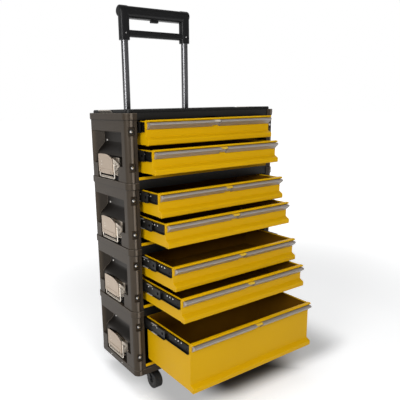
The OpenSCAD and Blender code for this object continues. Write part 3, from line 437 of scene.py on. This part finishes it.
# painted highlight: the cheeks inward of the plate are coloured a pale cream
cheek_highlight = (plate_back - axis_of(metres, "x").size()).over(0)
plate = tumble.blend((0.40, 0.315, 0.24), (0.50, 0.41, 0.32))
feed(nickel, shader, Base_Color=cheek_highlight.blend(plate, (0.86, 0.76, 0.64)),
     Metallic=0.55 - cheek_highlight * 0.45, Roughness=0.34 + tumble * 0.2, Normal=metres.bump(tumble, 0.1))
dress(nickel, "latch_brackets", *[f"latch_lever_{k}_{side}" for k in range(1, 5) for side in sides])
wire, shader, metres = new_material("bright_wire", Metallic=0.75, Roughness=0.26)
drawn = metres.noise(500, 2)
feed(wire, shader, Base_Color=drawn.blend((0.62, 0.56, 0.48), (0.78, 0.72, 0.64)),
     Roughness=0.2 + drawn * 0.16)
dress(wire, "latch_keepers", *[f"latch_bail_{k}_{side}" for k in range(1, 5) for side in sides])

# Spring rivets: two small oval steel heads on each lever's plate, as bright as the bail. They
# hold a leaf spring behind the plate, which isn't modelled.


def dome_faces(rings, turns):
    """Quads between neighbouring rings of points, a fan over the first ring to the point after
    the last ring, and a fan over the last ring to the point after that."""
    grid = np.arange((rings - 1) * turns).reshape(rings - 1, turns)
    following = np.roll(grid, -1, axis=1)
    quads = np.stack([grid[:-1], following[:-1], following[1:], grid[1:]], axis=-1).reshape(-1, 4)
    foot, top = grid.size, grid.size + 1
    foot_fan = [(int(q), int(p), foot) for p, q in zip(grid[0], following[0])]
    top_fan = [(int(p), int(q), top) for p, q in zip(grid[-1], following[-1])]
    return quads.tolist() + foot_fan + top_fan


def oval_head(middle, outwards, along, across, wide, tall, proud, rings=7, turns=20):
    """Dome over an oval: at ring t from 0 to 1 the radius is sin(t quarter turns) of the
    half width and half height, and the rise is cos(t quarter turns) of the height."""
    t = np.linspace(1, 0, rings) * math.pi / 2
    a = np.linspace(0, 2 * math.pi, turns, endpoint=False)
    middle, outwards, along, across = (np.array(v, float) for v in (middle, outwards, along, across))
    oval = wide * np.cos(a)[None, :, None] * along + tall * np.sin(a)[None, :, None] * across
    rise = (np.cos(t)[:-1] * proud)[:, None, None] * outwards
    ring = (middle + np.sin(t)[:-1, None, None] * oval + rise).reshape(-1, 3)
    foot, top = middle - 0.0003 * outwards, middle + proud * outwards
    return np.vstack([ring, foot, top]), dome_faces(rings, turns)


def piece_from(name, parts, material, body):
    """One smooth-shaded mesh from several point and face lists, which rides on a body."""
    points, faces, start = [], [], 0
    for more_points, more_faces in parts:
        points.append(more_points)
        faces += [tuple(v + start for v in face) for face in more_faces]
        start += len(more_points)
    mesh = bpy.data.meshes.new(name)
    mesh.from_pydata(np.vstack(points).tolist(), [], faces)
    mesh.polygons.foreach_set("use_smooth", np.ones(len(mesh.polygons), dtype=bool))
    mesh.materials.append(material)
    made = bpy.data.objects.new(name, mesh)
    bpy.context.scene.collection.objects.link(made)
    shape = bmesh.new()
    shape.from_mesh(mesh)
    bmesh.ops.recalc_face_normals(shape, faces=shape.faces)
    shape.to_mesh(mesh)
    shape.free()
    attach(made, body)


plate_face, rivet_behind, rivet_up, rivet_apart = 0.2613, 0.020, 0.0305, 0.0042
rivet_half_width, rivet_half_height, rivet_proud = 0.0019, 0.0024, 0.0008
for k in range(1, 5):
    for side, way in zip(sides, (-1, 1)):
        low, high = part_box(f"latch_lever_{k}_{side}")
        heads = [oval_head((way * plate_face, high.y - rivet_behind, low.z + rivet_up + up),
                           (way, 0, 0), (0, 1, 0), (0, 0, 1),
                           rivet_half_width, rivet_half_height, rivet_proud)
                 for up in (-rivet_apart, rivet_apart)]
        piece_from(f"spring_rivets_{k}_{side}", heads, wire, f"lever_{k}_{side}")

# Handle tubes: a pair of drawn steel tubes, satin nickel plated and rubbed along their length.
# They slide in the sleeves behind the stack.
satin, shader, metres = new_material("satin_tube", Metallic=1.0, Roughness=0.3)
line = metres.noise(160, 2, 0.5, (1, 1, 0.02))
feed(satin, shader, Base_Color=line.blend((0.14, 0.14, 0.145), (0.20, 0.20, 0.205)),
     Roughness=0.3 + line * 0.04)
dress(satin, "handle_tubes")

# Grip: moulded black plastic over the tube ends, with the release button in the underside of its
# bar, in a fine grain like that of the base.
grip, shader, metres = new_material("grip_plastic", Roughness=0.45, Specular_IOR_Level=0.3)
grain = metres.noise(700, 2)
feed(grip, shader, Base_Color=metres.noise(12, 3).blend((0.004, 0.004, 0.0042), (0.008, 0.008, 0.0084)),
     Roughness=0.34 + grain * 0.14, Normal=metres.bump(grain, 0.2))
dress(grip, "handle_grip", "handle_button")

# Clamp screws: a bright pan-head screw in the seat on each leg of the grip, with a cross
# recess; they nip the moulding on to the tubes.


def cross_screw(middle, radius, proud, rings=16, turns=48):
    """Pan head facing the front: the rise falls off as the fourth power of the radius, and drops
    by slot_depth of the height in a cross, where the distance from either middle line is under
    slot_half of the head's radius and the radius is under slot_reach of it."""
    slot_half, slot_reach, slot_depth = 0.13, 0.62, 0.55
    r = np.linspace(1, 0, rings)[:-1, None] * radius
    a = np.linspace(0, 2 * math.pi, turns, endpoint=False)[None, :]
    u, w = r * np.cos(a), r * np.sin(a)
    rise = proud * (1 - (r / radius) ** 4)
    slot = (np.minimum(np.abs(u), np.abs(w)) < radius * slot_half) & (r < radius * slot_reach)
    rise = rise - slot * proud * slot_depth
    ring = np.stack([middle[0] + u, middle[1] - rise, middle[2] + w], axis=-1).reshape(-1, 3)
    foot = (middle[0], middle[1] + 0.0002, middle[2])
    top = (middle[0], middle[1] - proud * 0.45, middle[2])
    return np.vstack([ring, foot, top]), dome_faces(rings, turns)


grip_low, grip_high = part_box("handle_grip")
seat_x, seat_depth, seat_drop = 0.111, 0.0008, 0.0805
seat_y, seat_z = grip_low.y + seat_depth, grip_high.z - seat_drop
screw_radius, screw_proud = 0.0025, 0.0016
screw_zinc, shader, metres = new_material("screw_zinc", Metallic=0.8, Roughness=0.25)
wear = metres.noise(400, 2)
feed(screw_zinc, shader, Base_Color=wear.blend((0.55, 0.54, 0.52), (0.75, 0.74, 0.72)),
     Roughness=0.2 + wear * 0.15)
screws = [cross_screw((x, seat_y, seat_z), screw_radius, screw_proud) for x in (-seat_x, seat_x)]
piece_from("clamp_screws", screws, screw_zinc, "handle")
